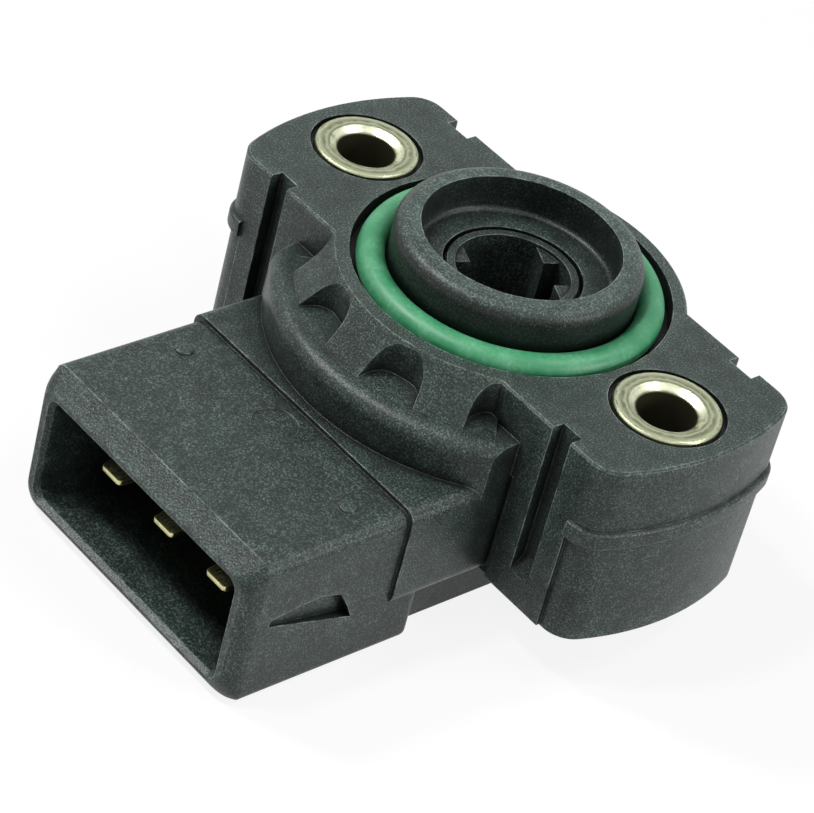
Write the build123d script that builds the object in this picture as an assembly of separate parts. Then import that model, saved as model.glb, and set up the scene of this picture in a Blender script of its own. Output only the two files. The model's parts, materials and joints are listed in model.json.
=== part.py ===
from build123d import *
from math import cos, radians, sin, tan
import os

# Lengths are in millimetres and angles in degrees. The origin is on the rotor axis at the mounting face,
# +Z points out of that face, the two fixing holes lie on X and the connector points along -Y.

# Mounting flange
bolt_spacing = 42.0
ear_margin = 6.92
flange_half_width = 11.55
ear_corner_radius = 2.9
flange_disc_radius = 16.25
flange_edge = 0.2
ear_depth = 19.0
ear_setback = 0.35
bead_depth = 7.6
bead_height = 1.75
bead_proud = 0.4

# Guide channels, cut in a pad on the front and the rear of each ear
channel_inset = 1.25
channel_width = 2.3
rear_channel_width = 2.8
channel_depth = 1.3
channel_length = 16.1
channel_run_out = 1.4
pad_reach = 2.2
pad_gap = 0.4
pad_depth = 6.4

# Spigot and the seal round it
spigot_radius = 11.5
spigot_wall = 2.25
spigot_height = 4.05
spigot_edge = 1.3
spigot_root = 0.5
bearing_shelf = 0.4
seal_section = 2.65
seal_proud = 0.7
groove_play = 0.75

# Bushings
bushing_radius = 4.92
bushing_bore_radius = 2.75
bushing_lead_in = 0.73
bushing_lead_depth = 0.55
bushing_proud = 0.12
bushing_edge = 0.15
bushing_fit = 0.03
bushing_relief = 0.45
bushing_relief_depth = 0.7

# Collar in front of the disc, with ramped ribs and pockets between them
collar_radius = 21.3
collar_depth = 3.95
collar_edge = 1.5
rib_count = 3
rib_pitch = 31.5
rib_reach = 19.3
rib_toe = 0.1
pocket_back = 16.45
pocket_back_half_width = 2.2
pocket_flare = 16.0
pocket_corner = 2.1
pocket_runout = 6.0
pocket_rise = 0.6

# Neck and connector shroud
neck_half_width = 15.65
neck_depth = 8.3
neck_reach = 22.3
neck_edge = 1.2
neck_lower_edge = 1.6
shroud_half_width = 15.25
shroud_depth = 8.75
body_depth = 24.0
shroud_heel = 18.6
connector_reach = 39.5
shroud_edge = 1.1
shroud_lower_edge = 0.9
heel_edge = 0.85
heel_root = 0.8
nose_length = 1.8
rim_step = 0.1
rim_top = 0.8
rim_side = 1.0
rim_bottom = 0.55
rim_lower_corner = 2.1
wall_side = 2.05
wall_top = 2.5
wall_bottom = 1.95
mouth_lead = 0.3
mouth_corner = 1.2
socket_depth = 13.0

# Marks on the shroud's top and the clip scoops in its sides
bump_radius = 0.9
bump_height = 0.3
bump_half_spacing = 11.75
bump_reach = 26.6
ejector_radius = 2.1
ejector_reach = 25.4
ejector_depth = 0.12
scoop_reach = 36.3
scoop_length = 9.7
scoop_height = 3.9
scoop_top_depth = 14.45
scoop_depth = 1.1
scoop_shallow = 0.15

# Contact blades
blade_width = 2.8
blade_thickness = 0.8
blade_pitch = 7.66
blade_drop = 0.33
blade_tip_reach = 36.1
blade_tip_edge = 0.22
leg_width = 1.2
leg_inset = 2.4
leg_stand = 0.6
leg_rise = 0.9
pad_half_width = 1.0
solder_height = 0.7
solder_top_radius = 0.78

# Pot, chamber and cover behind the flange
pot_half_width = 13.4
pot_edge = 0.3
chamber_radius = 11.3
chamber_reach = 17.0
ceiling_depth = 5.0
cover_ledge = 0.9
cover_thickness = 2.6
cover_flange = 1.4
cover_fit = 0.05
cover_groove = 1.2
cover_edge = 0.3
seal_fill = 0.9
post_x = 8.0
post_y = 6.0
post_inset = 0.5
post_radius = 1.2
tower_radius = 3.4

# Rotor and its bearing
hub_radius = 6.2
hub_top = 0.35
hub_edge = 0.15
hub_gap = 0.3
hub_gap_depth = 1.2
journal_clearance = 0.05
boss_radius = 8.0
drive_radius = 5.35
drive_depth = 9.0
tab_recess = 0.4
tab_half_gap = 1.67
tab_inner_edge = 3.55
drive_angle = -25.0
carrier_radius = 10.4
carrier_thickness = 2.25
stub_radius = 2.4
pilot_radius = 1.1
pilot_length = 1.2
pilot_play = 0.35
lug_reach = 11.0
lug_half_angle = 7.0
rest_angle = 40.0
travel = 100.0
stop_gap = 1.5
stop_angle = 8.0
stop_radius = 10.7

# Washer, spring, board and wiper
washer_thickness = 0.5
axial_play = 0.05
wire_radius = 0.45
spring_radius = 9.3
spring_turns = 3.25
spring_start = 200.0
spring_leg = 1.7
spring_hole_radius = 0.75
board_thickness = 1.0
board_margin = 0.4
track_thickness = 0.12
track_radius = 9.2
collector_radius = 7.0
track_width = 1.2
plate_thickness = 0.3
plate_inner_radius = 4.2
plate_outer_radius = 10.0
stake_circle = 5.2
stake_radius = 0.7
brush_thickness = 0.18
finger_width = 0.5
finger_slit = 0.25
brush_gap = 0.03
brush_front = 1.2
brush_length = 1.8
finger_run = 3.2
finger_tip = 0.6
washer_spring_thickness = 0.2
washer_spring_height = 0.5

# Values that follow from the ones above
spigot_bore_radius = spigot_radius - spigot_wall
groove_radius = spigot_radius + seal_section + groove_play
groove_depth = seal_section - seal_proud
bushing_x = bolt_spacing / 2
ear_end_radius = bushing_x + ear_margin
boss_end_depth = body_depth / 2
channel_x = bushing_x - channel_inset
nose_start = connector_reach - nose_length
shroud_height = body_depth - shroud_depth
shroud_middle = -(body_depth + shroud_depth) / 2
cover_top = cover_thickness - body_depth
blade_depth = blade_drop - shroud_middle
board_depth = blade_depth + blade_thickness / 2 + leg_rise
bearing_radius = hub_radius + journal_clearance
carrier_top = -(boss_end_depth + washer_thickness + axial_play)
carrier_bottom = carrier_top - carrier_thickness
plate_bottom = carrier_bottom - plate_thickness
board_top = -board_depth
board_bottom = board_top - board_thickness
track_top = board_top + track_thickness
leg_front = chamber_reach - leg_inset
leg_back = leg_front - blade_thickness
leg_end = board_bottom - leg_stand
stub_end = cover_top + 1.4
tower_top = stub_end - washer_spring_height
spring_bottom = carrier_top + wire_radius + 0.35
spring_top = -(ceiling_depth + wire_radius + 0.3)
low_leg_angle = spring_start + 2
high_leg_angle = spring_start + 360 * spring_turns - 2


def polar(radius, angle):
    return (radius * cos(radians(angle)), radius * sin(radians(angle)))


def slab(sketch, top, bottom):
    return extrude(Pos(0, 0, bottom) * sketch, amount=top - bottom)


def block(x0, x1, y0, y1, z0, z1):
    size = Box(x1 - x0, y1 - y0, z1 - z0)
    return Pos((x0 + x1) / 2, (y0 + y1) / 2, (z0 + z1) / 2) * size


def polygon(points):
    return make_face(Polyline(*points, close=True))


def edges_at(shape, axis, value):
    return shape.edges().filter_by_position(axis, value - 0.001, value + 0.001)


def arc_band(inner, outer, start, end):
    # Part of a flat ring between two angles, less than half a turn wide
    reach = 3 * outer
    corners = [(0, 0), polar(reach, start), polar(reach, (start + end) / 2), polar(reach, end)]
    return (Circle(outer) - Circle(inner)) & polygon(corners)


def plate_outline(end_radius, half_width, corner):
    outline = Circle(end_radius) & Rectangle(2 * end_radius, 2 * half_width)
    return fillet(outline.vertices(), corner)


def u_outline(radius, reach):
    # A half circle about the rotor axis whose straight sides run towards the connector
    return Circle(radius) + Pos(0, -reach / 2) * Rectangle(2 * radius, reach)


def shroud_section(side, top, bottom, upper, lower, reach):
    # The shroud's outline less the given walls, in the plane at this reach, facing out of the mouth
    section = Rectangle(2 * (shroud_half_width - side), shroud_height - top - bottom)
    section = fillet(section.vertices().group_by(Axis.Y)[-1], upper)
    section = fillet(section.vertices().group_by(Axis.Y)[0], lower)
    middle = shroud_middle - (top - bottom) / 2
    return Plane(origin=(0, -reach, middle), x_dir=(1, 0, 0), z_dir=(0, -1, 0)) * section


def four_corners(tool):
    # The same shape at the front and the rear of both ears
    pair = [tool, mirror(tool, about=Plane.XZ)]
    return pair + [mirror(one, about=Plane.YZ) for one in pair]


def flange():
    outline = plate_outline(ear_end_radius, flange_half_width, ear_corner_radius)
    top = slab(outline + Circle(flange_disc_radius), 0, -bead_depth)
    top = chamfer(edges_at(top, Axis.Z, 0), flange_edge)
    lower = plate_outline(ear_end_radius, flange_half_width - ear_setback, ear_corner_radius)
    lower = slab(lower + Circle(flange_disc_radius), -bead_depth, -ear_depth)
    return top + lower


def ear_beads():
    half = bead_height / 2
    outline = plate_outline(
        ear_end_radius + bead_proud, flange_half_width + bead_proud, ear_corner_radius + bead_proud)
    band = slab(outline, half - bead_depth, -half - bead_depth)
    rims = edges_at(band, Axis.Z, half - bead_depth) + edges_at(band, Axis.Z, -half - bead_depth)
    band = fillet(rims, 0.9 * bead_proud)
    inner = bushing_x + pad_reach
    wide = 2 * ear_end_radius
    return band - block(-inner, inner, -wide, wide, -2 * bead_depth, 0)


def ear_pads():
    outer = bushing_x + pad_reach
    front = -flange_half_width
    inner = neck_half_width + pad_gap
    return four_corners(block(inner, outer, front, front + 2, -ear_depth, -pad_depth))


def channels():
    front = -flange_half_width
    floor = front + channel_depth
    side = polygon([
        (front - 1, 1), (floor, 1), (floor, channel_run_out - channel_length),
        (front, -channel_length), (front - 1, -channel_length)])
    tools = []
    for width, rear in ((channel_width, False), (rear_channel_width, True)):
        tool = extrude(Plane.YZ.offset(channel_x - width / 2) * side, amount=width)
        tool = mirror(tool, about=Plane.XZ) if rear else tool
        tools += [tool, mirror(tool, about=Plane.YZ)]
    return tools


def collar():
    drum = slab(Circle(collar_radius), -collar_depth, -neck_depth - 2)
    drum = fillet(edges_at(drum, Axis.Z, -collar_depth), collar_edge)
    return drum & block(
        -neck_half_width, neck_half_width, -2 * collar_radius, 2 - flange_half_width, -ear_depth, 0)


def ribs():
    inner = flange_disc_radius - 1.5
    side = polygon([
        (inner, 0), (flange_disc_radius, 0), (rib_reach, rib_toe - collar_depth),
        (rib_reach, -collar_depth - 1), (inner, -collar_depth - 1)])
    ring = revolve(Plane.XZ * side, axis=Axis.Z)
    half = rib_pitch * rib_count / 2
    sector = polygon([(0, 0), polar(60, -90 - half), polar(80, -90), polar(60, -90 + half)])
    ring = ring & slab(sector, 1, -ear_depth)
    outer = rib_reach + pocket_runout
    flared = pocket_back_half_width + (outer - pocket_back) * tan(radians(pocket_flare))
    pocket = polygon([
        (pocket_back, -pocket_back_half_width), (outer, -flared),
        (outer, flared), (pocket_back, pocket_back_half_width)])
    pocket = fillet(pocket.vertices().group_by(Axis.X)[0], pocket_corner)
    floor = polygon([
        (inner, -collar_depth - 1), (rib_reach, -collar_depth - 1),
        (rib_reach, -collar_depth), (inner, pocket_rise - collar_depth)])
    floor = revolve(Plane.XZ * floor, axis=Axis.Z)
    for index in range(rib_count + 1):
        turn = Rot(0, 0, -90 + (index - rib_count / 2) * rib_pitch)
        ring = ring - (slab(turn * pocket, 1, -collar_depth) - floor)
    return ring


def neck():
    body = block(-neck_half_width, neck_half_width, -neck_reach, -5, -ear_depth, -neck_depth)
    along = body.edges().filter_by(Axis.Y)
    body = fillet(along.group_by(Axis.Z)[-1], neck_edge)
    return fillet(body.edges().filter_by(Axis.Y).group_by(Axis.Z)[0], neck_lower_edge)


def shroud():
    section = shroud_section(0, 0, 0, shroud_edge, shroud_lower_edge, nose_start)
    barrel = extrude(section, amount=shroud_heel - nose_start)
    barrel = fillet(edges_at(barrel, Axis.Y, -shroud_heel), heel_edge)
    # The nose is flat above, and rounds off at the sides and below
    side = wall_side - rim_side
    top = wall_top - rim_top
    bottom = wall_bottom - rim_bottom
    root = shroud_section(0, rim_step, 0, shroud_edge, shroud_lower_edge, nose_start)
    waist = shroud_section(
        side / 4, (rim_step + top) / 2, bottom / 4,
        shroud_edge, (shroud_lower_edge + rim_lower_corner) / 2, (nose_start + connector_reach) / 2)
    rim = shroud_section(side, top, bottom, shroud_edge, rim_lower_corner, connector_reach)
    return barrel + loft([root, waist, rim])


def shroud_socket():
    bare = shroud_section(
        wall_side, wall_top, wall_bottom, mouth_corner, mouth_corner, connector_reach - 2 * mouth_lead)
    wide = shroud_section(
        wall_side - mouth_lead, wall_top - mouth_lead, wall_bottom - mouth_lead,
        mouth_corner, mouth_corner, connector_reach)
    socket = extrude(bare, amount=2 * mouth_lead - socket_depth)
    return socket + loft([bare, wide])


def clip_scoops():
    low = -scoop_top_depth - scoop_height
    back = scoop_length - scoop_reach
    side = polygon([
        (-scoop_reach, -scoop_top_depth - 1.25), (-scoop_reach, -scoop_top_depth - 0.6),
        (-scoop_reach + 3.4, -scoop_top_depth - 0.15), (back - 4.1, -scoop_top_depth),
        (back - 1.9, -scoop_top_depth - 0.65), (back - 0.7, -scoop_top_depth - 2.45), (back, low)])
    prism = extrude(Plane.YZ.offset(shroud_half_width - 3) * side, amount=6)
    wedge = polygon([
        (shroud_half_width + 2, -scoop_reach - 1), (shroud_half_width - scoop_shallow, -scoop_reach - 1),
        (shroud_half_width - scoop_depth, back + 0.5), (shroud_half_width + 2, back + 0.5)])
    tool = prism & slab(wedge, 0, -body_depth)
    return [tool, mirror(tool, about=Plane.YZ)]


def pot():
    body = slab(u_outline(pot_half_width, shroud_heel + 3), 2 - ear_depth, -body_depth)
    body = fillet(edges_at(body, Axis.Z, -body_depth), pot_edge)
    edge = pot_half_width
    for side in (-1, 1):
        inner = side * (edge - 1)
        outer = side * (edge + heel_root)
        front = -shroud_heel - 1
        back = heel_root - shroud_heel
        root = polygon([(inner, front), (outer, front), (outer, back), (inner, back)])
        hollow = Pos(outer, back) * Circle(heel_root)
        body = body + slab(root - hollow, 1 - ear_depth, pot_edge - body_depth)
    return body


def chamber():
    hollow = slab(u_outline(chamber_radius, chamber_reach), -ceiling_depth, cover_top)
    hollow = hollow - slab(Circle(boss_radius), 0, -boss_end_depth)
    first = rest_angle - lug_half_angle - stop_gap
    last = rest_angle + travel + lug_half_angle + stop_gap
    for start in (first - stop_angle, last):
        stop = arc_band(stop_radius, chamber_radius + 1, start, start + stop_angle)
        hollow = hollow - slab(stop, carrier_top + 0.6, carrier_bottom - 0.3)
    anchor = Pos(*polar(spring_radius, high_leg_angle)) * Circle(spring_hole_radius)
    hollow = hollow + slab(anchor, spring_leg - ceiling_depth, -ceiling_depth)
    rebate = u_outline(chamber_radius + cover_ledge, chamber_reach + cover_ledge)
    return hollow + slab(rebate, cover_top, -body_depth - 1)


def terminal(x):
    z = -blade_depth
    half = blade_width / 2
    thick = blade_thickness / 2
    blade = block(x - half, x + half, -blade_tip_reach, -leg_back, z - thick, z + thick)
    blade = chamfer(edges_at(blade, Axis.Y, -blade_tip_reach), blade_tip_edge)
    leg = block(x - leg_width / 2, x + leg_width / 2, -leg_front, -leg_back, leg_end, z)
    return blade + leg


def housing(blades):
    spigot = slab(Circle(spigot_radius), spigot_height, -1)
    spigot = fillet(edges_at(spigot, Axis.Z, spigot_height), spigot_edge)
    body = flange() + spigot + collar() + ribs() + neck() + shroud() + pot() + ear_beads()
    for pad in ear_pads():
        body = body + pad
    for side in (-1, 1):
        bump = Pos(side * bump_half_spacing, -bump_reach) * Circle(bump_radius)
        bump = slab(bump, bump_height - shroud_depth, -shroud_depth - 1)
        body = body + fillet(edges_at(bump, Axis.Z, bump_height - shroud_depth), 0.9 * bump_height)
    well = slab(Circle(spigot_bore_radius), spigot_height + 1, bearing_shelf)
    body = body - fillet(edges_at(well, Axis.Z, bearing_shelf), spigot_root)
    body = body - slab(Circle(hub_radius + hub_gap), 1, hub_top - hub_gap_depth)
    body = body - slab(Circle(bearing_radius), 1, -boss_end_depth - 1)
    body = body - slab(Circle(groove_radius) - Circle(spigot_radius), 1, -groove_depth)
    body = body - chamber()
    for side in (-1, 1):
        hole = Pos(side * bushing_x, 0)
        body = body - slab(hole * Circle(bushing_radius + bushing_fit), 1, -ear_depth - 1)
        body = body - slab(hole * Circle(bushing_radius + bushing_relief), 1, -bushing_relief_depth)
    for tool in channels() + clip_scoops():
        body = body - tool
    ejector = Pos(0, -ejector_reach) * Circle(ejector_radius)
    body = body - slab(ejector, 1 - shroud_depth, -shroud_depth - ejector_depth)
    body = body - shroud_socket()
    for blade in blades:
        body = body - blade
    return body


def rear_cover():
    outer = chamber_radius + cover_ledge - cover_fit
    reach = chamber_reach + cover_ledge - cover_fit
    panel = slab(u_outline(outer - cover_groove, reach - cover_groove), cover_top, -body_depth)
    panel = chamfer(edges_at(panel, Axis.Z, -body_depth), cover_edge)
    body = panel + slab(u_outline(outer, reach), cover_top, cover_top - cover_flange)
    front = post_inset - leg_front
    seats = ((-post_x, post_y), (post_x, post_y), (-blade_pitch / 2, front), (blade_pitch / 2, front))
    for x, y in seats:
        body = body + slab(Pos(x, y) * Circle(post_radius), board_bottom, cover_top)
    body = body + slab(Circle(tower_radius), tower_top, cover_top)
    pilot_hole = Circle(pilot_radius + pilot_play)
    body = body - slab(pilot_hole, tower_top + 1, stub_end - pilot_length - pilot_play)
    return body - slab(Circle(tower_radius), cover_edge - body_depth, -body_depth - 1)


def cover_seal():
    outer = u_outline(chamber_radius + cover_ledge - 0.02, chamber_reach + cover_ledge - 0.02)
    inner_radius = chamber_radius + cover_ledge - cover_fit - cover_groove + 0.02
    inner = u_outline(inner_radius, inner_radius - chamber_radius + chamber_reach)
    top = cover_top - cover_flange
    return slab(outer - inner, top, top - seal_fill)


def o_ring():
    ring = Torus(spigot_radius + 0.06 + seal_section / 2, seal_section / 2)
    return Pos(0, 0, seal_section / 2 - groove_depth + 0.01) * ring


def bushing(side):
    mouth = bushing_bore_radius + bushing_lead_in
    face = bushing_radius - bushing_edge
    wall = polygon([
        (bushing_bore_radius, bushing_proud - bushing_lead_depth), (mouth, bushing_proud),
        (face, bushing_proud), (bushing_radius, bushing_proud - bushing_edge),
        (bushing_radius, bushing_edge - ear_depth), (face, -ear_depth),
        (mouth, -ear_depth), (bushing_bore_radius, bushing_lead_depth - ear_depth)])
    return Pos(side * bushing_x, 0, 0) * revolve(Plane.XZ * wall, axis=Axis.Z)


def rotor():
    hub = slab(Circle(hub_radius), hub_top, carrier_bottom)
    hub = chamfer(edges_at(hub, Axis.Z, hub_top), hub_edge)
    lug = arc_band(carrier_radius - 1, lug_reach, rest_angle - lug_half_angle, rest_angle + lug_half_angle)
    body = hub + slab(Circle(carrier_radius), carrier_top, carrier_bottom)
    body = body + slab(lug, carrier_top, carrier_bottom)
    body = body + slab(Circle(stub_radius), carrier_bottom, stub_end)
    body = body + slab(Circle(pilot_radius), stub_end, stub_end - pilot_length)
    for x, y in stakes():
        body = body + slab(Pos(x, y) * Circle(stake_radius), carrier_bottom, plate_bottom - 0.4)
    open_way = Rectangle(4 * hub_radius, 2 * tab_inner_edge)
    cross_way = Rectangle(2 * tab_half_gap, 4 * hub_radius)
    tabs = Rot(0, 0, drive_angle) * (Circle(drive_radius + hub_edge) - open_way - cross_way)
    body = body - slab(Circle(drive_radius), 1, hub_top - drive_depth)
    body = body + slab(tabs, hub_top - tab_recess, hub_top - drive_depth - hub_edge)
    anchor = Pos(*polar(spring_radius, low_leg_angle)) * Circle(spring_hole_radius)
    return body - slab(anchor, carrier_top + 1, carrier_bottom - 1)


def stakes():
    return [polar(stake_circle, rest_angle + 4), polar(stake_circle, rest_angle + 22)]


def thrust_washer():
    ring = Circle(boss_radius - 0.1) - Circle(bearing_radius + 0.1)
    return slab(ring, -boss_end_depth, -boss_end_depth - washer_thickness)


def return_spring():
    height = spring_top - spring_bottom
    coil = Rot(0, 0, spring_start) * Helix(height / spring_turns, height, spring_radius)
    coil = Pos(0, 0, spring_bottom) * coil
    wire = Plane(origin=coil @ 0, z_dir=coil % 0) * RegularPolygon(wire_radius, 8)
    body = sweep(wire, path=coil, is_frenet=True)
    for angle, z, way in ((low_leg_angle, spring_bottom, -1), (high_leg_angle, spring_top, 1)):
        leg = Pos(*polar(spring_radius, angle)) * Rot(0, 0, angle + 11) * RegularPolygon(wire_radius, 8)
        ends = sorted((z - way * 0.7 * wire_radius, z + way * spring_leg))
        body = body + slab(leg, ends[1], ends[0])
    return body


def wiper_plate():
    plate = arc_band(plate_inner_radius, plate_outer_radius, rest_angle - 10, rest_angle + 30)
    for x, y in stakes():
        plate = plate - Pos(x, y) * Circle(stake_radius + 0.05)
    return slab(plate, carrier_bottom, plate_bottom)


def brush(radius):
    contact = track_top + brush_gap
    thick = brush_thickness
    half = finger_width + finger_slit / 2
    back = brush_front + brush_length
    touch = brush_front - finger_run
    tip = touch - finger_tip
    rise = 0.7 * finger_tip
    body = block(radius - half, radius + half, brush_front, back, plate_bottom - thick, plate_bottom)
    root = brush_front + 0.25 * thick
    side = polygon([
        (root, plate_bottom), (touch, contact + thick), (tip, contact + thick + rise),
        (tip, contact + rise), (touch, contact), (root, plate_bottom - thick)])
    for start in (radius - half, radius + finger_slit / 2):
        body = body + extrude(Plane.YZ.offset(start) * side, amount=finger_width)
    return Rot(0, 0, rest_angle) * body


def preload_washer():
    # A coned spring washer round the pilot, between the cover's tower and the rotor's stub
    inner = pilot_radius + pilot_play
    outer = stub_radius - 0.05
    low = tower_top
    high = low + washer_spring_height - axial_play
    thick = washer_spring_thickness
    side = polygon([(inner, high), (inner, high - thick), (outer, low), (outer, low + thick)])
    return revolve(Plane.XZ * side, axis=Axis.Z)


def leg_slots(play):
    slots = []
    for index in (-1, 0, 1):
        place = Pos(index * blade_pitch, -(leg_front + leg_back) / 2)
        slots.append(place * Rectangle(leg_width + 2 * play, blade_thickness + 2 * play))
    return slots


def resistor_board():
    outline = u_outline(chamber_radius - board_margin, chamber_reach - board_margin)
    outline = outline - Circle(stub_radius + 0.8)
    for slot in leg_slots(0.15):
        outline = outline - slot
    return slab(outline, board_top, board_bottom)


def resistive_track():
    inner = track_radius - track_width / 2
    outer = track_radius + track_width / 2
    start = rest_angle - 20
    outline = arc_band(inner, outer, start, 180 - start)
    lead_end = -leg_front - blade_thickness
    for side in (-1, 1):
        angle = start + 0.5 if side > 0 else 179.5 - start
        near = polar(inner, angle)
        far = polar(outer, angle)
        middle = side * blade_pitch
        inside = (middle - side * pad_half_width, lead_end)
        outside = (middle + side * pad_half_width, lead_end)
        outline = outline + polygon([near, far, outside, inside])
    for slot in leg_slots(0.15):
        outline = outline - slot
    return slab(outline, track_top, board_top)


def collector_track():
    inner = collector_radius - track_width / 2
    outer = collector_radius + track_width / 2
    lead_end = leg_front + blade_thickness
    lead = Rectangle(2 * pad_half_width, lead_end - collector_radius)
    lead = Pos(0, -(collector_radius + lead_end) / 2) * lead
    outline = Circle(outer) + lead - Circle(inner)
    for slot in leg_slots(0.15):
        outline = outline - slot
    return slab(outline, track_top, board_top)


def solder_joints(blades):
    joints = []
    middle = -(leg_front + leg_back) / 2
    for index, blade in enumerate(blades):
        place = Pos((index - 1) * blade_pitch, middle, track_top + solder_height / 2)
        joint = place * Cone(pad_half_width, solder_top_radius, solder_height) - blade
        joints.append(joint.solid())
    return Compound(children=joints)


blades = [terminal(index * blade_pitch) for index in (-1, 0, 1)]
nodes = {
    "housing": housing(blades),
    "rear_cover": rear_cover(),
    "cover_seal": cover_seal(),
    "o_ring": o_ring(),
    "bushing_left": bushing(-1),
    "bushing_right": bushing(1),
    "terminal_1": blades[0],
    "terminal_2": blades[1],
    "terminal_3": blades[2],
    "rotor": rotor(),
    "thrust_washer": thrust_washer(),
    "preload_washer": preload_washer(),
    "return_spring": return_spring(),
    "wiper_plate": wiper_plate(),
    "track_brush": brush(track_radius),
    "collector_brush": brush(collector_radius),
    "resistor_board": resistor_board(),
    "resistive_track": resistive_track(),
    "collector_track": collector_track(),
    "solder_joints": solder_joints(blades),
}

os.makedirs("parts", exist_ok=True)
for name, shape in nodes.items():
    export_step(shape, f"parts/{name}.step")
    print(name, round(shape.volume, 2), len(shape.solids()))
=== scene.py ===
import json
import math

import bmesh
import bpy
from mathutils import Matrix, Vector


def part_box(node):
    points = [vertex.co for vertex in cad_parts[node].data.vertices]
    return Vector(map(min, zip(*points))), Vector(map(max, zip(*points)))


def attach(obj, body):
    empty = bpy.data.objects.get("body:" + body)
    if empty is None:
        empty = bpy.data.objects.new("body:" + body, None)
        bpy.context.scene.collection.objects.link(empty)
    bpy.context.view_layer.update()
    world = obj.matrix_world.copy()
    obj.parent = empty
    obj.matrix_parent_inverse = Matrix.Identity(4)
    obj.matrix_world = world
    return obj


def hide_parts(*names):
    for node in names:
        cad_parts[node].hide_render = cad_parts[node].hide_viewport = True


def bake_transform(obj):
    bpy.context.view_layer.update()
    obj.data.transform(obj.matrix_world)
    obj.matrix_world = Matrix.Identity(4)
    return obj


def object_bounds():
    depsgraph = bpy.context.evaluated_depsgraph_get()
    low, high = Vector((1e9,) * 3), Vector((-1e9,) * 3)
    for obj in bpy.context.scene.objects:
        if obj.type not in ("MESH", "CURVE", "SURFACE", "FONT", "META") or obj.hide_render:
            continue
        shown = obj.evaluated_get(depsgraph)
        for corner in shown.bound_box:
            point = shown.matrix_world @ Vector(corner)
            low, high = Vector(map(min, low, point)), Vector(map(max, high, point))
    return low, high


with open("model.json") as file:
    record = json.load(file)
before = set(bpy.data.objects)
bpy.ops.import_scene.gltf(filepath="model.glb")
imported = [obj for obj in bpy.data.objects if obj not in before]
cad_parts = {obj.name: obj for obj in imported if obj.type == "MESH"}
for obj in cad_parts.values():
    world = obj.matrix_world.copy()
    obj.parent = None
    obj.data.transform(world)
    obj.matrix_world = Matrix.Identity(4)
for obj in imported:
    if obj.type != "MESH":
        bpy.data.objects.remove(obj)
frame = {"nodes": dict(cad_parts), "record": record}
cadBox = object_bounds()
nodes = frame["nodes"]
print("frame:", len(nodes), "pieces from the CAD model")


# small helpers for node trees

noiseSpread = (0.3, 0.7)  # nearly all of a noise texture lies between these
white = (1.0, 1.0, 1.0, 1.0)


def putNode(tree, kind, sockets=None, **settings):
    node = tree.nodes.new("ShaderNode" + kind)
    for key, value in settings.items():
        setattr(node, key, value)
    for key, value in (sockets or {}).items():
        if isinstance(value, bpy.types.NodeSocket):
            tree.links.new(value, node.inputs[key])
        else:
            node.inputs[key].default_value = value
    return node


def startMaterial(name, roughness, metallic=0.0, shine=0.5):
    material = bpy.data.materials.new(name)
    material.use_nodes = True
    tree = material.node_tree
    shader = tree.nodes["Principled BSDF"]
    shader.inputs["Roughness"].default_value = roughness
    shader.inputs["Metallic"].default_value = metallic
    shader.inputs["Specular IOR Level"].default_value = shine
    return material, tree, shader


def noise(tree, place, size, detail, roughness):
    sockets = {"Vector": place, "Scale": 1 / size, "Detail": detail, "Roughness": roughness}
    return putNode(tree, "TexNoise", sockets).outputs["Fac"]


def remap(tree, value, low, high, toLow=0.0, toHigh=1.0):
    sockets = {"Value": value, "From Min": low, "From Max": high, "To Min": toLow, "To Max": toHigh}
    return putNode(tree, "MapRange", sockets).outputs["Result"]


def math2(tree, operation, first, second=0.0):
    return putNode(tree, "Math", {0: first, 1: second}, operation=operation).outputs[0]


def multiply(tree, first, second):
    return math2(tree, "MULTIPLY", first, second)


def blendColour(tree, amount, first, second):
    node = putNode(tree, "Mix", data_type="RGBA")
    for index, value in ((0, amount), (6, first), (7, second)):
        if isinstance(value, bpy.types.NodeSocket):
            tree.links.new(value, node.inputs[index])
        elif index:
            node.inputs[index].default_value = (*value, 1.0)
        else:
            node.inputs[index].default_value = value
    return node.outputs[2]


def occlusion(tree, reach, samples, **settings):
    return putNode(tree, "AmbientOcclusion", {"Distance": reach}, samples=samples, **settings).outputs["AO"]


def roughRange(tree, value, look):
    low, high = look["roughSpread"]
    return remap(tree, value, *noiseSpread, look["rough"] + low, look["rough"] + high)


def raiseSurface(tree, shader, look, height, normal=None):
    sockets = {"Strength": look["bump"], "Distance": look["bumpHeight"], "Height": height}
    if normal is not None:
        sockets["Normal"] = normal
    bump = putNode(tree, "Bump", sockets)
    tree.links.new(bump.outputs["Normal"], shader.inputs["Normal"])


# edges: a rounded normal, and a mask of the outer edges that stand clear

edgeLook = {
    "samples": 6,
    "bend": (0.985, 0.86),
    "clearReach": 6,  # in edge radii
    "clear": (0.55, 0.85),
}


def roundNormal(tree, radius):
    return putNode(tree, "Bevel", {"Radius": radius}, samples=edgeLook["samples"]).outputs["Normal"]


def edgeMask(tree, radius):
    rounded = roundNormal(tree, radius)
    flat = putNode(tree, "NewGeometry").outputs["Normal"]
    turn = putNode(tree, "VectorMath", {0: rounded, 1: flat}, operation="DOT_PRODUCT")
    bend = remap(tree, turn.outputs["Value"], *edgeLook["bend"])
    clear = occlusion(tree, radius * edgeLook["clearReach"], edgeLook["samples"])
    return rounded, multiply(tree, bend, remap(tree, clear, *edgeLook["clear"]))


# moulded plastic: charcoal body, pale fibre flecks, fine grain, pale edges that are partly wear and partly
# painted highlight, painted highlights on rounded edges, and painted shade in recesses, creases and on the
# spigot's walls

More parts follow.
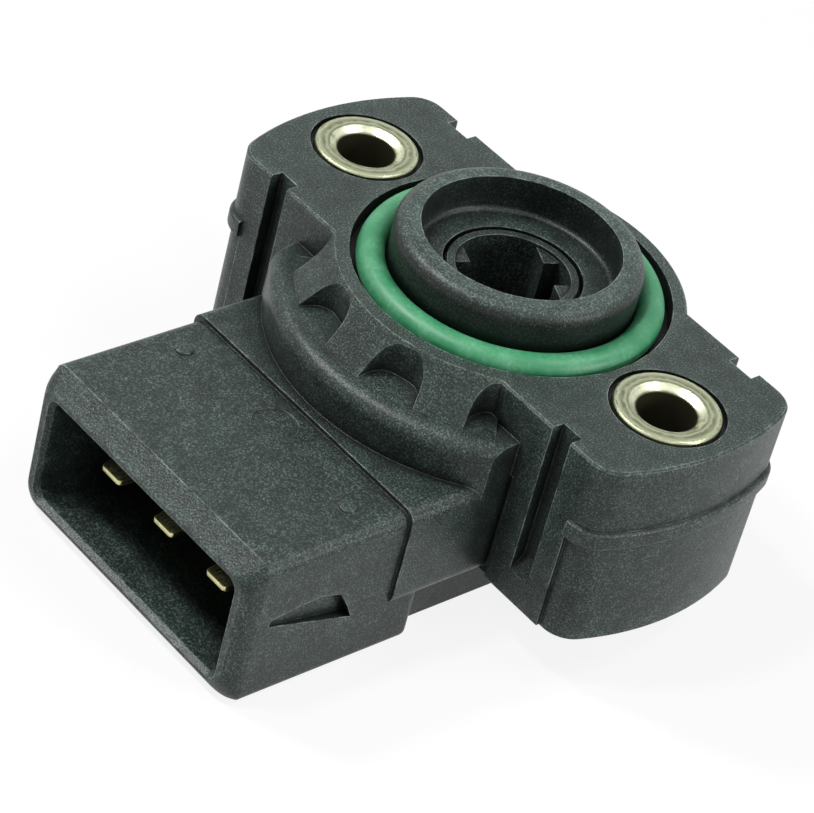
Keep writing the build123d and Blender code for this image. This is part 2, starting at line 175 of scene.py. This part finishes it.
housingLook = {
    "name": "housingPlastic",
    "shade": (0.0110, 0.0170, 0.0145),
    "shine": 0.28,
    "roughLow": 0.33,
    "roughHigh": 0.43,
    "fleck": (0.114, 0.160, 0.139),
    "fleckSize": 0.00018,
    "fleckDetail": (3.0, 0.7),
    "fleckRange": (0.49, 0.74),
    "mottleSize": 0.0016,
    "mottleDetail": (2.0, 0.6),
    "mottleTone": (0.78, 1.22),
    "mottleFleck": (0.60, 1.40),
    "grainSize": 0.00022,
    "grainDetail": (2.0, 0.6),
    "bump": 0.75,
    "bumpHeight": 0.00006,
    "cloudSize": 0.006,
    "cloudDetail": (3.0, 0.55),
    "cloudTone": (0.80, 1.22),
    # pale edges: partly wear, partly a painted highlight on edges that catch light
    "edgeRadius": 0.00016,
    "edgeWearAndHighlightColour": (0.44, 0.49, 0.46),
    "edgeRange": (0.40, 0.64),
    "edgeLeast": 0.08,
    "edgeWearAndHighlight": 0.85,
    "shadeSamples": 8,
    "shelterReach": 0.007,
    "shelterRange": (0.25, 0.85),
    "shelterPaintedShade": 0.62,  # painted shade: recesses found by occlusion are darkened
    "shelterFleckPaintedShade": 0.1,
    # painted shade: creases found by a short occlusion are darkened
    "creaseReach": 0.0010,
    "creaseRange": (0.54, 0.94),
    "creasePaintedShade": 0.28,
    "paintedHighlightReach": 0.0016,
    "paintedHighlightRange": (0.95, 0.60),
    "paintedHighlightTone": 0.50,  # painted highlight: rounded edges and fillets are made paler
    "spigotRadius": 0.01170,
    "spigotSoft": 0.0001,
    "spigotWall": 0.0012,
    "wallSoft": 0.0003,
    "spigotFloor": 0.0009,
    "floorSoft": 0.0008,
    "facing": (0.45, 0.90),
    "wallPaintedShade": 0.42,  # painted light on the spigot: its walls are darkened as painted shade and its end is lightened as a painted highlight, by the way each face points
    "endPaintedHighlight": 1.45,
}
# the rotor sits low in the spigot's bore: its darker shade and deeper recess darkening are painted shade
rotorLook = dict(
    housingLook, name="rotorPlastic", shade=(0.0095, 0.0138, 0.0118),
    edgeWearAndHighlight=0.55, shelterPaintedShade=0.36, paintedHighlightTone=0.0)
coverLook = dict(housingLook, name="coverPlastic", shade=(0.0120, 0.0174, 0.0150), cloudSize=0.009)


# painted light: the spigot's faces turn darker or paler by the way they point
def spigotPaintedLight(tree, look):
    texture = putNode(tree, "TexCoord").outputs
    parts = putNode(tree, "SeparateXYZ", {"Vector": texture["Object"]}).outputs
    facing = putNode(tree, "SeparateXYZ", {"Vector": texture["Normal"]}).outputs["Z"]
    flat = putNode(tree, "CombineXYZ", {"X": parts["X"], "Y": parts["Y"]}).outputs["Vector"]
    radius = putNode(tree, "VectorMath", {0: flat}, operation="LENGTH").outputs["Value"]
    within = remap(tree, radius, look["spigotRadius"] + look["spigotSoft"], look["spigotRadius"])
    wall = look["spigotRadius"] - look["spigotWall"]
    outer = remap(tree, radius, wall - look["wallSoft"], wall)
    above = remap(tree, parts["Z"], look["spigotFloor"], look["spigotFloor"] + look["floorSoft"])
    zone = multiply(tree, within, math2(tree, "MAXIMUM", outer, above))
    change = remap(tree, facing, *look["facing"], look["wallPaintedShade"] - 1, look["endPaintedHighlight"] - 1)
    return math2(tree, "ADD", multiply(tree, zone, change), 1.0)


def plasticFinish(look):
    material, tree, shader = startMaterial(look["name"], look["roughHigh"], shine=look["shine"])
    place = putNode(tree, "TexCoord").outputs["Object"]
    cloud = noise(tree, place, look["cloudSize"], *look["cloudDetail"])
    fleck = noise(tree, place, look["fleckSize"], *look["fleckDetail"])
    grain = noise(tree, place, look["grainSize"], *look["grainDetail"])
    mottle = noise(tree, place, look["mottleSize"], *look["mottleDetail"])
    shelter = occlusion(tree, look["shelterReach"], look["shadeSamples"])
    crease = occlusion(tree, look["creaseReach"], look["shadeSamples"])
    solid = occlusion(tree, look["paintedHighlightReach"], look["shadeSamples"], inside=True, only_local=True)
    rounded, edge = edgeMask(tree, look["edgeRadius"])
    # this factor carries the spigot's painted light, the painted shade in creases and the painted highlight
    # on rounded edges
    paintedLight = spigotPaintedLight(tree, look)
    paintedLight = multiply(tree, paintedLight, remap(tree, crease, *look["creaseRange"], look["creasePaintedShade"], 1.0))
    # painted highlight: rounded edges found by inside occlusion are lightened
    paintedLight = multiply(tree, paintedLight, remap(tree, solid, *look["paintedHighlightRange"], 1.0, 1.0 + look["paintedHighlightTone"]))

    tone = remap(tree, cloud, *noiseSpread, *look["cloudTone"])
    tone = multiply(tree, tone, paintedLight)
    tone = multiply(tree, tone, remap(tree, mottle, *noiseSpread, *look["mottleTone"]))
    # painted shade: the tone falls in recesses
    tone = multiply(tree, tone, remap(tree, shelter, *look["shelterRange"], look["shelterPaintedShade"], 1.0))
    sockets = {0: look["shade"], "Scale": tone}
    toned = putNode(tree, "VectorMath", sockets, operation="SCALE").outputs["Vector"]
    flecks = remap(tree, fleck, *look["fleckRange"])
    # painted shade: the flecks fade in recesses
    flecks = multiply(tree, flecks, remap(tree, shelter, *look["shelterRange"], look["shelterFleckPaintedShade"], 1.0))
    flecks = multiply(tree, flecks, paintedLight)
    flecks = multiply(tree, flecks, remap(tree, mottle, *noiseSpread, *look["mottleFleck"]))
    speckled = blendColour(tree, flecks, toned, look["fleck"])
    # pale edges: partly wear, partly painted highlight
    wearAndHighlight = remap(tree, mottle, *look["edgeRange"], look["edgeLeast"], look["edgeWearAndHighlight"])
    colour = blendColour(tree, multiply(tree, edge, wearAndHighlight), speckled, look["edgeWearAndHighlightColour"])
    tree.links.new(colour, shader.inputs["Base Color"])

    rough = remap(tree, grain, *noiseSpread, look["roughLow"], look["roughHigh"])
    tree.links.new(rough, shader.inputs["Roughness"])
    raiseSurface(tree, shader, look, grain, rounded)
    return material


# rubber: the green seal with a faint bloom, and the potting

sealLook = {
    "name": "sealRubber",
    "shade": (0.026, 0.212, 0.089),
    "bloom": (0.15, 0.41, 0.24),
    "bloomRange": (0.38, 0.75),
    "bloomGrain": (0.3, 0.8),
    "patchSize": 0.0028,
    "patchDetail": (4.0, 0.6),
    "grainSize": 0.00035,
    "grainDetail": (2.0, 0.5),
    "rough": 0.47,
    "roughSpread": (-0.08, 0.1),
    "shine": 0.5,
    "bump": 0.35,
    "bumpHeight": 0.00003,
}
pottingLook = dict(
    sealLook, name="potting", shade=(0.014, 0.014, 0.015), bloom=(0.04, 0.04, 0.042), rough=0.38)


def rubberFinish(look):
    material, tree, shader = startMaterial(look["name"], look["rough"], shine=look["shine"])
    place = putNode(tree, "TexCoord").outputs["Object"]
    patch = noise(tree, place, look["patchSize"], *look["patchDetail"])
    grain = noise(tree, place, look["grainSize"], *look["grainDetail"])
    dust = remap(tree, grain, *noiseSpread, *look["bloomGrain"])
    dusty = multiply(tree, remap(tree, patch, *look["bloomRange"]), dust)
    tree.links.new(blendColour(tree, dusty, look["shade"], look["bloom"]), shader.inputs["Base Color"])
    tree.links.new(roughRange(tree, patch, look), shader.inputs["Roughness"])
    raiseSurface(tree, shader, look, grain)
    return material


# metals: streaks follow the way each piece was worked

bushingLook = {
    "name": "bushingMetal",
    "bright": (0.46, 0.49, 0.335),
    "dull": (0.165, 0.185, 0.105),
    "stainPatch": (0.30, 0.62),
    "stainLeast": 0.4,
    "stainCut": (0.36, 0.60),
    "lipWornAndHighlit": (0.86, 0.88, 0.66),  # lips and lead-in are bright: partly rubbed, partly a painted highlight
    "lipRadius": 0.00022,
    "borePaintedShade": (0.060, 0.058, 0.036),  # painted shade: the bore is coloured dark
    "boreRadius": 0.00277,
    "boreSoft": 0.0002,
    "boreRough": 0.55,
    "leadRadius": 0.00348,
    "leadSoft": 0.00006,
    "leadWornAndHighlit": 0.55,
    "polishAndHighlightRange": (0.66, 0.46),
    "polishAndHighlight": (0.2, 0.9),
    "pitch": 0.0006,
    "cutDetail": (3.0, 0.62),
    "patchSize": 0.0011,
    "patchDetail": (3.0, 0.6),
    "rough": 0.32,
    "roughSpread": (-0.08, 0.14),
    "bump": 0.4,
    "bumpHeight": 0.000016,
    "reach": abs(sum(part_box("bushing_right"), Vector()).x) / 2,
}


def turnedFinish(look):
    material, tree, shader = startMaterial(look["name"], look["rough"], 1.0)
    place = putNode(tree, "TexCoord").outputs["Object"]
    parts = putNode(tree, "SeparateXYZ", {"Vector": place}).outputs
    # both sleeves share one finish, so it is laid out from the nearer one's axis
    across = math2(tree, "SUBTRACT", math2(tree, "ABSOLUTE", parts["X"]), look["reach"])
    flat = putNode(tree, "CombineXYZ", {"X": across, "Y": parts["Y"]}).outputs["Vector"]
    radius = putNode(tree, "VectorMath", {0: flat}, operation="LENGTH").outputs["Value"]
    along = math2(tree, "ADD", radius, parts["Z"])
    patch = noise(tree, place, look["patchSize"], *look["patchDetail"])
    shaken = math2(tree, "ADD", along, multiply(tree, patch, look["pitch"]))
    detail, roughness = look["cutDetail"]
    cut = {"W": shaken, "Scale": 1 / look["pitch"], "Detail": detail, "Roughness": roughness}
    turned = putNode(tree, "TexNoise", cut, noise_dimensions="1D").outputs["Fac"]
    stain = remap(tree, patch, *look["stainPatch"], look["stainLeast"], 1.0)
    stain = multiply(tree, stain, remap(tree, turned, *look["stainCut"]))
    # lips and lead-in are brightened: partly rubbed, partly painted highlight
    rounded, lipWornAndHighlit = edgeMask(tree, look["lipRadius"])
    lead = remap(tree, radius, look["leadRadius"] + look["leadSoft"], look["leadRadius"] - look["leadSoft"])
    wornAndHighlit = math2(tree, "MAXIMUM", lipWornAndHighlit, multiply(tree, lead, look["leadWornAndHighlit"]))
    polishAndHighlight = multiply(tree, wornAndHighlit, remap(tree, patch, *look["polishAndHighlightRange"], *look["polishAndHighlight"]))
    stained = blendColour(tree, stain, look["bright"], look["dull"])
    face = blendColour(tree, polishAndHighlight, stained, look["lipWornAndHighlit"])
    # painted shade: the bore is coloured dark
    inside = remap(tree, radius, look["boreRadius"] + look["boreSoft"], look["boreRadius"])
    tree.links.new(blendColour(tree, inside, face, look["borePaintedShade"]), shader.inputs["Base Color"])
    boreRough = multiply(tree, inside, look["boreRough"])
    rough = math2(tree, "MAXIMUM", roughRange(tree, patch, look), boreRough)
    tree.links.new(rough, shader.inputs["Roughness"])
    raiseSurface(tree, shader, look, turned, rounded)
    return material


bladeLook = {
    "name": "bladeMetal",
    "bright": (0.76, 0.73, 0.40),
    "dull": (0.42, 0.38, 0.17),
    "stainRange": (0.35, 0.7),
    "stainStreak": (0.4, 1.0),
    "streak": (7000, 300, 7000),
    "streakDetail": (3.0, 0.6),
    "patchSize": 0.0012,
    "patchDetail": (3.0, 0.6),
    "rough": 0.30,
    "roughSpread": (-0.08, 0.12),
    "edgeRadius": 0.00012,
    "bump": 0.3,
    "bumpHeight": 0.00001,
}
steelLook = dict(
    bladeLook, name="springSteel", bright=(0.52, 0.52, 0.53), dull=(0.30, 0.30, 0.31),
    streak=(900, 900, 5000))
wiperLook = dict(
    bladeLook, name="wiperMetal", bright=(0.74, 0.60, 0.30), dull=(0.45, 0.34, 0.15),
    streak=(500, 6000, 6000))
brushLook = dict(
    bladeLook, name="brushMetal", bright=(0.80, 0.74, 0.56), dull=(0.50, 0.44, 0.30),
    streak=(6000, 500, 6000))
collectorLook = dict(
    bladeLook, name="collectorFilm", bright=(0.70, 0.70, 0.67), dull=(0.42, 0.42, 0.40),
    streak=(2500, 2500, 2500), rough=0.42)
solderLook = dict(
    bladeLook, name="solder", bright=(0.66, 0.66, 0.68), dull=(0.36, 0.36, 0.38),
    streak=(1200, 1200, 1200), rough=0.34)


def drawnFinish(look):
    material, tree, shader = startMaterial(look["name"], look["rough"], 1.0)
    place = putNode(tree, "TexCoord").outputs["Object"]
    pulled = putNode(tree, "Mapping", {"Vector": place, "Scale": look["streak"]}).outputs["Vector"]
    streak = noise(tree, pulled, 1.0, *look["streakDetail"])
    patch = noise(tree, place, look["patchSize"], *look["patchDetail"])
    streaked = remap(tree, streak, *noiseSpread, *look["stainStreak"])
    stain = multiply(tree, remap(tree, patch, *look["stainRange"]), streaked)
    tree.links.new(blendColour(tree, stain, look["bright"], look["dull"]), shader.inputs["Base Color"])
    tree.links.new(roughRange(tree, streak, look), shader.inputs["Roughness"])
    raiseSurface(tree, shader, look, streak, roundNormal(tree, look["edgeRadius"]))
    return material


# fired and printed surfaces inside the chamber, and the nylon washer

ceramicLook = {
    "name": "boardCeramic",
    "shade": (0.80, 0.80, 0.77),
    "spot": (0.58, 0.57, 0.53),
    "spotSize": 0.0005,
    "spotDetail": (3.0, 0.65),
    "spotRange": (0.5, 0.75),
    "rough": 0.48,
    "roughSpread": (-0.08, 0.1),
    "bump": 0.3,
    "bumpHeight": 0.00002,
}
filmLook = dict(
    ceramicLook, name="trackFilm", shade=(0.016, 0.016, 0.018), spot=(0.045, 0.045, 0.05),
    spotSize=0.0002, rough=0.6)
washerLook = dict(
    ceramicLook, name="washerPlastic", shade=(0.72, 0.70, 0.62), spot=(0.60, 0.57, 0.48),
    spotSize=0.001, rough=0.4)


def firedFinish(look):
    material, tree, shader = startMaterial(look["name"], look["rough"])
    place = putNode(tree, "TexCoord").outputs["Object"]
    spot = noise(tree, place, look["spotSize"], *look["spotDetail"])
    spotted = remap(tree, spot, *look["spotRange"])
    tree.links.new(blendColour(tree, spotted, look["shade"], look["spot"]), shader.inputs["Base Color"])
    tree.links.new(roughRange(tree, spot, look), shader.inputs["Roughness"])
    raiseSurface(tree, shader, look, spot)
    return material


# one finish for each slot of the record
finishes = {
    "housing_plastic": plasticFinish(housingLook),
    "rotor_plastic": plasticFinish(rotorLook),
    "cover_plastic": plasticFinish(coverLook),
    "seal_rubber": rubberFinish(sealLook),
    "potting": rubberFinish(pottingLook),
    "bushing_metal": turnedFinish(bushingLook),
    "blade_metal": drawnFinish(bladeLook),
    "spring_steel": drawnFinish(steelLook),
    "wiper_metal": drawnFinish(wiperLook),
    "brush_metal": drawnFinish(brushLook),
    "collector_film": drawnFinish(collectorLook),
    "solder": drawnFinish(solderLook),
    "board_ceramic": firedFinish(ceramicLook),
    "track_film": firedFinish(filmLook),
    "washer_plastic": firedFinish(washerLook),
}
for part in frame["record"]["subparts"]:
    mesh = nodes[part["node"]].data
    mesh.materials.clear()
    mesh.materials.append(finishes[part["material_slot"]])
print("finishes:", len(finishes), "materials on", len(nodes), "nodes")


# helpers for new pieces

smoothAngle = math.radians(35)
squareOn = 0.9  # a face whose normal reaches this share of a direction faces that way


def pickFaces(piece, test):
    mesh = bmesh.from_edit_mesh(piece.data)
    for face in mesh.faces:
        face.select_set(test(face))
    mesh.select_flush_mode()
    bmesh.update_edit_mesh(piece.data)


def pullFaces(offset, scale, middle):
    bpy.ops.mesh.extrude_region_move(TRANSFORM_OT_translate={"value": offset})
    bpy.ops.transform.resize(value=scale, center_override=middle)


def paintPiece(piece, slot):
    piece.data.materials.clear()
    piece.data.materials.append(finishes[slot])


# contact blades: stamped strip with a coined nose and a leg to the board

bladeShape = {
    "thick": 0.0008,
    "nose": 0.00075,
    "noseWidth": 0.97,
    "noseThick": 0.66,
    "round": 0.00022,
    "roundWidth": 0.80,
    "roundThick": 0.86,
    "leg": 0.0014,
    "legWidth": 0.6,
    "edge": 0.00007,
    "edgeSteps": 2,
}


def modelBlade(shape):
    low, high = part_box("terminal_2")
    front = low.y + shape["nose"] + shape["round"]
    flat = high.z - shape["thick"]
    legFront = high.y - shape["leg"]
    middle = ((low.x + high.x) / 2, front, high.z - shape["thick"] / 2)
    bpy.ops.object.select_all(action="DESELECT")
    bpy.ops.mesh.primitive_cube_add(
        size=1, location=(middle[0], (front + high.y) / 2, middle[2]),
        scale=(high.x - low.x, high.y - front, shape["thick"]))
    blade = bpy.context.object
    bpy.ops.object.transform_apply(location=True, rotation=True, scale=True)
    bpy.ops.object.mode_set(mode="EDIT")
    bpy.ops.mesh.select_mode(type="FACE")
    pickFaces(blade, lambda face: face.normal.y < -squareOn)
    pullFaces((0, -shape["nose"], 0), (shape["noseWidth"], 1, shape["noseThick"]), middle)
    pullFaces((0, -shape["round"], 0), (shape["roundWidth"], 1, shape["roundThick"]), middle)
    bpy.ops.mesh.select_all(action="SELECT")
    bpy.ops.mesh.bisect(plane_co=(0, legFront, 0), plane_no=(0, 1, 0))
    pickFaces(blade, lambda face: face.normal.z < -squareOn and face.calc_center_median().y > legFront)
    pullFaces((0, 0, low.z - flat), (shape["legWidth"], 1, 1), (middle[0], high.y, low.z))
    bpy.ops.object.mode_set(mode="OBJECT")
    bevel = blade.modifiers.new("edges", "BEVEL")
    bevel.width = shape["edge"]
    bevel.segments = shape["edgeSteps"]
    bevel.limit_method = "ANGLE"
    bpy.ops.object.modifier_apply(modifier=bevel.name)
    bpy.ops.object.shade_smooth_by_angle(angle=smoothAngle)
    return blade


def middleX(node):
    return sum(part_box(node), Vector()).x / 2


def placeBlades(shape):
    first = modelBlade(shape)
    home = middleX("terminal_2")
    for number in (1, 3, 2):  # copies are made before the first blade is marked
        blade = first if number == 2 else first.copy()
        blade.name = f"blade{number}"
        if number != 2:
            blade.data = first.data.copy()
            bpy.context.scene.collection.objects.link(blade)
            blade.data.transform(Matrix.Translation((middleX(f"terminal_{number}") - home, 0, 0)))
        paintPiece(blade, "blade_metal")
        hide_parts(f"terminal_{number}")
        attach(blade, "body")


placeBlades(bladeShape)
print("blades: 3 with coined noses")


# return spring: round wire with a leg in the housing and one in the rotor

springShape = {
    "wire": 0.00045,
    "coil": 0.0093,
    "turns": 3.25,
    "start": 200.0,
    "inset": 2.0,
    "leg": 0.0017,
    "bend": 0.00065,
    "bendSteps": 6,
    "sides": 14,
    "steps": 130,
    "weld": 0.000001,
    "hold": 1.4,  # wire radii at each end
}


def bendLeg(spring, shape, angle, height, end):
    out = Vector((math.cos(angle), math.sin(angle), 0))
    way = math.copysign(shape["bend"], end - height)
    heart = out * shape["coil"] + Vector((0, 0, height))

    def isEnd(face):
        near = (face.calc_center_median() - heart).length < shape["wire"]
        return len(face.verts) == shape["sides"] and near

    pickFaces(spring, isEnd)
    bpy.ops.mesh.spin(
        steps=shape["bendSteps"], angle=math.radians(90), center=heart + Vector((0, 0, way)), axis=-out)
    bpy.ops.mesh.extrude_region_move(TRANSFORM_OT_translate={"value": (0, 0, end - height - way)})


def modelSpring(shape):
    low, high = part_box("return_spring")
    bottom, top = low.z + shape["leg"], high.z - shape["leg"]
    whole = math.tau * shape["turns"]
    # each leg turns off short of the coil's end
    trim = math.radians(shape["inset"]) + shape["bend"] / shape["coil"]
    start = math.radians(shape["start"]) + trim
    sweep = whole - 2 * trim
    lift = (top - bottom) * trim / whole
    bpy.ops.object.select_all(action="DESELECT")
    bpy.ops.mesh.primitive_circle_add(
        vertices=shape["sides"], radius=shape["wire"], fill_type="NOTHING",
        location=(shape["coil"] * math.cos(start), shape["coil"] * math.sin(start), bottom + lift),
        rotation=(math.radians(90), 0, start))
    spring = bpy.context.object
    spring.name = "returnSpring"
    bpy.ops.object.transform_apply(location=True, rotation=True, scale=True)
    coil = spring.modifiers.new("coil", "SCREW")
    coil.angle = sweep
    coil.screw_offset = top - bottom - 2 * lift
    coil.steps = coil.render_steps = shape["steps"]
    bpy.ops.object.modifier_apply(modifier=coil.name)
    bpy.ops.object.mode_set(mode="EDIT")
    bpy.ops.mesh.select_all(action="SELECT")
    bpy.ops.mesh.fill_holes(sides=0)
    bpy.ops.mesh.select_mode(type="FACE")
    bendLeg(spring, shape, start, bottom + lift, low.z)
    bendLeg(spring, shape, start + sweep, top - lift, high.z)
    bpy.ops.mesh.select_all(action="SELECT")
    bpy.ops.mesh.remove_doubles(threshold=shape["weld"])
    bpy.ops.mesh.normals_make_consistent(inside=False)
    bpy.ops.object.mode_set(mode="OBJECT")
    bpy.ops.object.shade_smooth_by_angle(angle=smoothAngle)
    paintPiece(spring, "spring_steel")
    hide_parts("return_spring")
    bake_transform(spring)
    return spring


spring = modelSpring(springShape)
print("spring:", len(spring.data.vertices), "points")


# plain pale floor under the part, white to the eye with a faint shadow

floorLook = {
    "radius": 4.0,
    "sides": 96,
    "colour": (0.82, 0.82, 0.82),
    "glow": 0.86,
    "height": cadBox[0].z - 0.00005,  # a hair below the part
}


def seenDirectly(tree):
    path = putNode(tree, "LightPath").outputs
    seen = math2(tree, "MAXIMUM", path["Is Camera Ray"], path["Is Glossy Ray"])
    return math2(tree, "MAXIMUM", seen, path["Is Transmission Ray"])


def buildFloor(look):
    bpy.ops.object.select_all(action="DESELECT")
    bpy.ops.mesh.primitive_circle_add(
        vertices=look["sides"], radius=look["radius"], fill_type="NGON",
        location=(0, 0, look["height"]))
    floor = bpy.context.object
    floor.name = "floor"
    bpy.ops.object.transform_apply(location=True, rotation=True, scale=True)
    material = bpy.data.materials.new("floorPaper")
    material.use_nodes = True
    tree = material.node_tree
    tree.nodes.clear()
    paper = putNode(tree, "BsdfDiffuse", {"Color": (*look["colour"], 1.0)})
    glow = putNode(tree, "Emission", {"Color": white, "Strength": 1.0})
    share = multiply(tree, seenDirectly(tree), look["glow"])
    mix = putNode(tree, "MixShader", {0: share, 1: paper.outputs[0], 2: glow.outputs[0]})
    putNode(tree, "OutputMaterial", {"Surface": mix.outputs[0]})
    floor.data.materials.append(material)


buildFloor(floorLook)
print("floor: at", round(floorLook["height"] * 1000, 2), "mm")


# soft studio light: one lamp from the left, a key from above and broader ones behind and to the right

studioLook = {
    "ambient": 0.02,
    "lamps": {
        "leftLight": {"place": (-0.245, -0.163, 0.335), "size": 0.07, "power": 1.20},
        "keyLight": {"place": (-0.08, -0.175, 0.401), "size": 0.06, "power": 0.80},
        "rightLight": {"place": (0.588, -0.35, 0.58), "size": 0.20, "power": 1.00},
        "backLight": {"place": (0.238, 0.403, 0.753), "size": 0.20, "power": 1.70},
        "sideLight": {"place": (0.413, 0.228, 0.753), "size": 0.20, "power": 1.20},
        "lowLight": {"place": (0.784, 0.307, 0.298), "size": 0.20, "power": 3.60},
    },
}


def buildStudio(look):
    world = bpy.data.worlds.new("studio")
    bpy.context.scene.world = world
    world.use_nodes = True
    tree = world.node_tree
    tree.nodes.clear()
    soft = putNode(tree, "Background", {"Color": white, "Strength": look["ambient"]})
    plain = putNode(tree, "Background", {"Color": white, "Strength": 1.0})
    mix = putNode(tree, "MixShader", {0: seenDirectly(tree), 1: soft.outputs[0], 2: plain.outputs[0]})
    putNode(tree, "OutputWorld", {"Surface": mix.outputs[0]})
    middle = (cadBox[0] + cadBox[1]) / 2
    for name, lamp in look["lamps"].items():
        data = bpy.data.lights.new(name, "AREA")
        data.shape = "DISK"
        data.size = lamp["size"]
        data.energy = lamp["power"]
        light = bpy.data.objects.new(name, data)
        bpy.context.scene.collection.objects.link(light)
        light.location = lamp["place"]
        light.rotation_euler = (middle - light.location).to_track_quat("-Z", "Y").to_euler()


buildStudio(studioLook)
bpy.context.scene.view_settings.view_transform = "Standard"
print("studio:", len(studioLook["lamps"]), "lamps")


# camera at the photo's view

cameraLook = {
    "place": (0.16685, -0.20160, 0.17719),
    "right": (0.62591, 0.75068, 0.21145),
    "down": (0.57634, -0.26256, -0.77389),
    "lens": 155.68,
    "sensor": 36.0,
    "near": 0.01,
    "far": 20.0,
}


def buildCamera(look):
    data = bpy.data.cameras.new("camera")
    data.sensor_width = look["sensor"]
    data.lens = look["lens"]
    data.clip_start = look["near"]
    data.clip_end = look["far"]
    camera = bpy.data.objects.new("camera", data)
    bpy.context.scene.collection.objects.link(camera)
    right = Vector(look["right"]).normalized()
    up = -Vector(look["down"])
    up = (up - right * up.dot(right)).normalized()
    back = right.cross(up)
    turn = Matrix((right, up, back)).transposed().to_4x4()
    camera.matrix_world = Matrix.Translation(look["place"]) @ turn
    bpy.context.scene.camera = camera


buildCamera(cameraLook)
print("camera: lens", cameraLook["lens"], "mm")
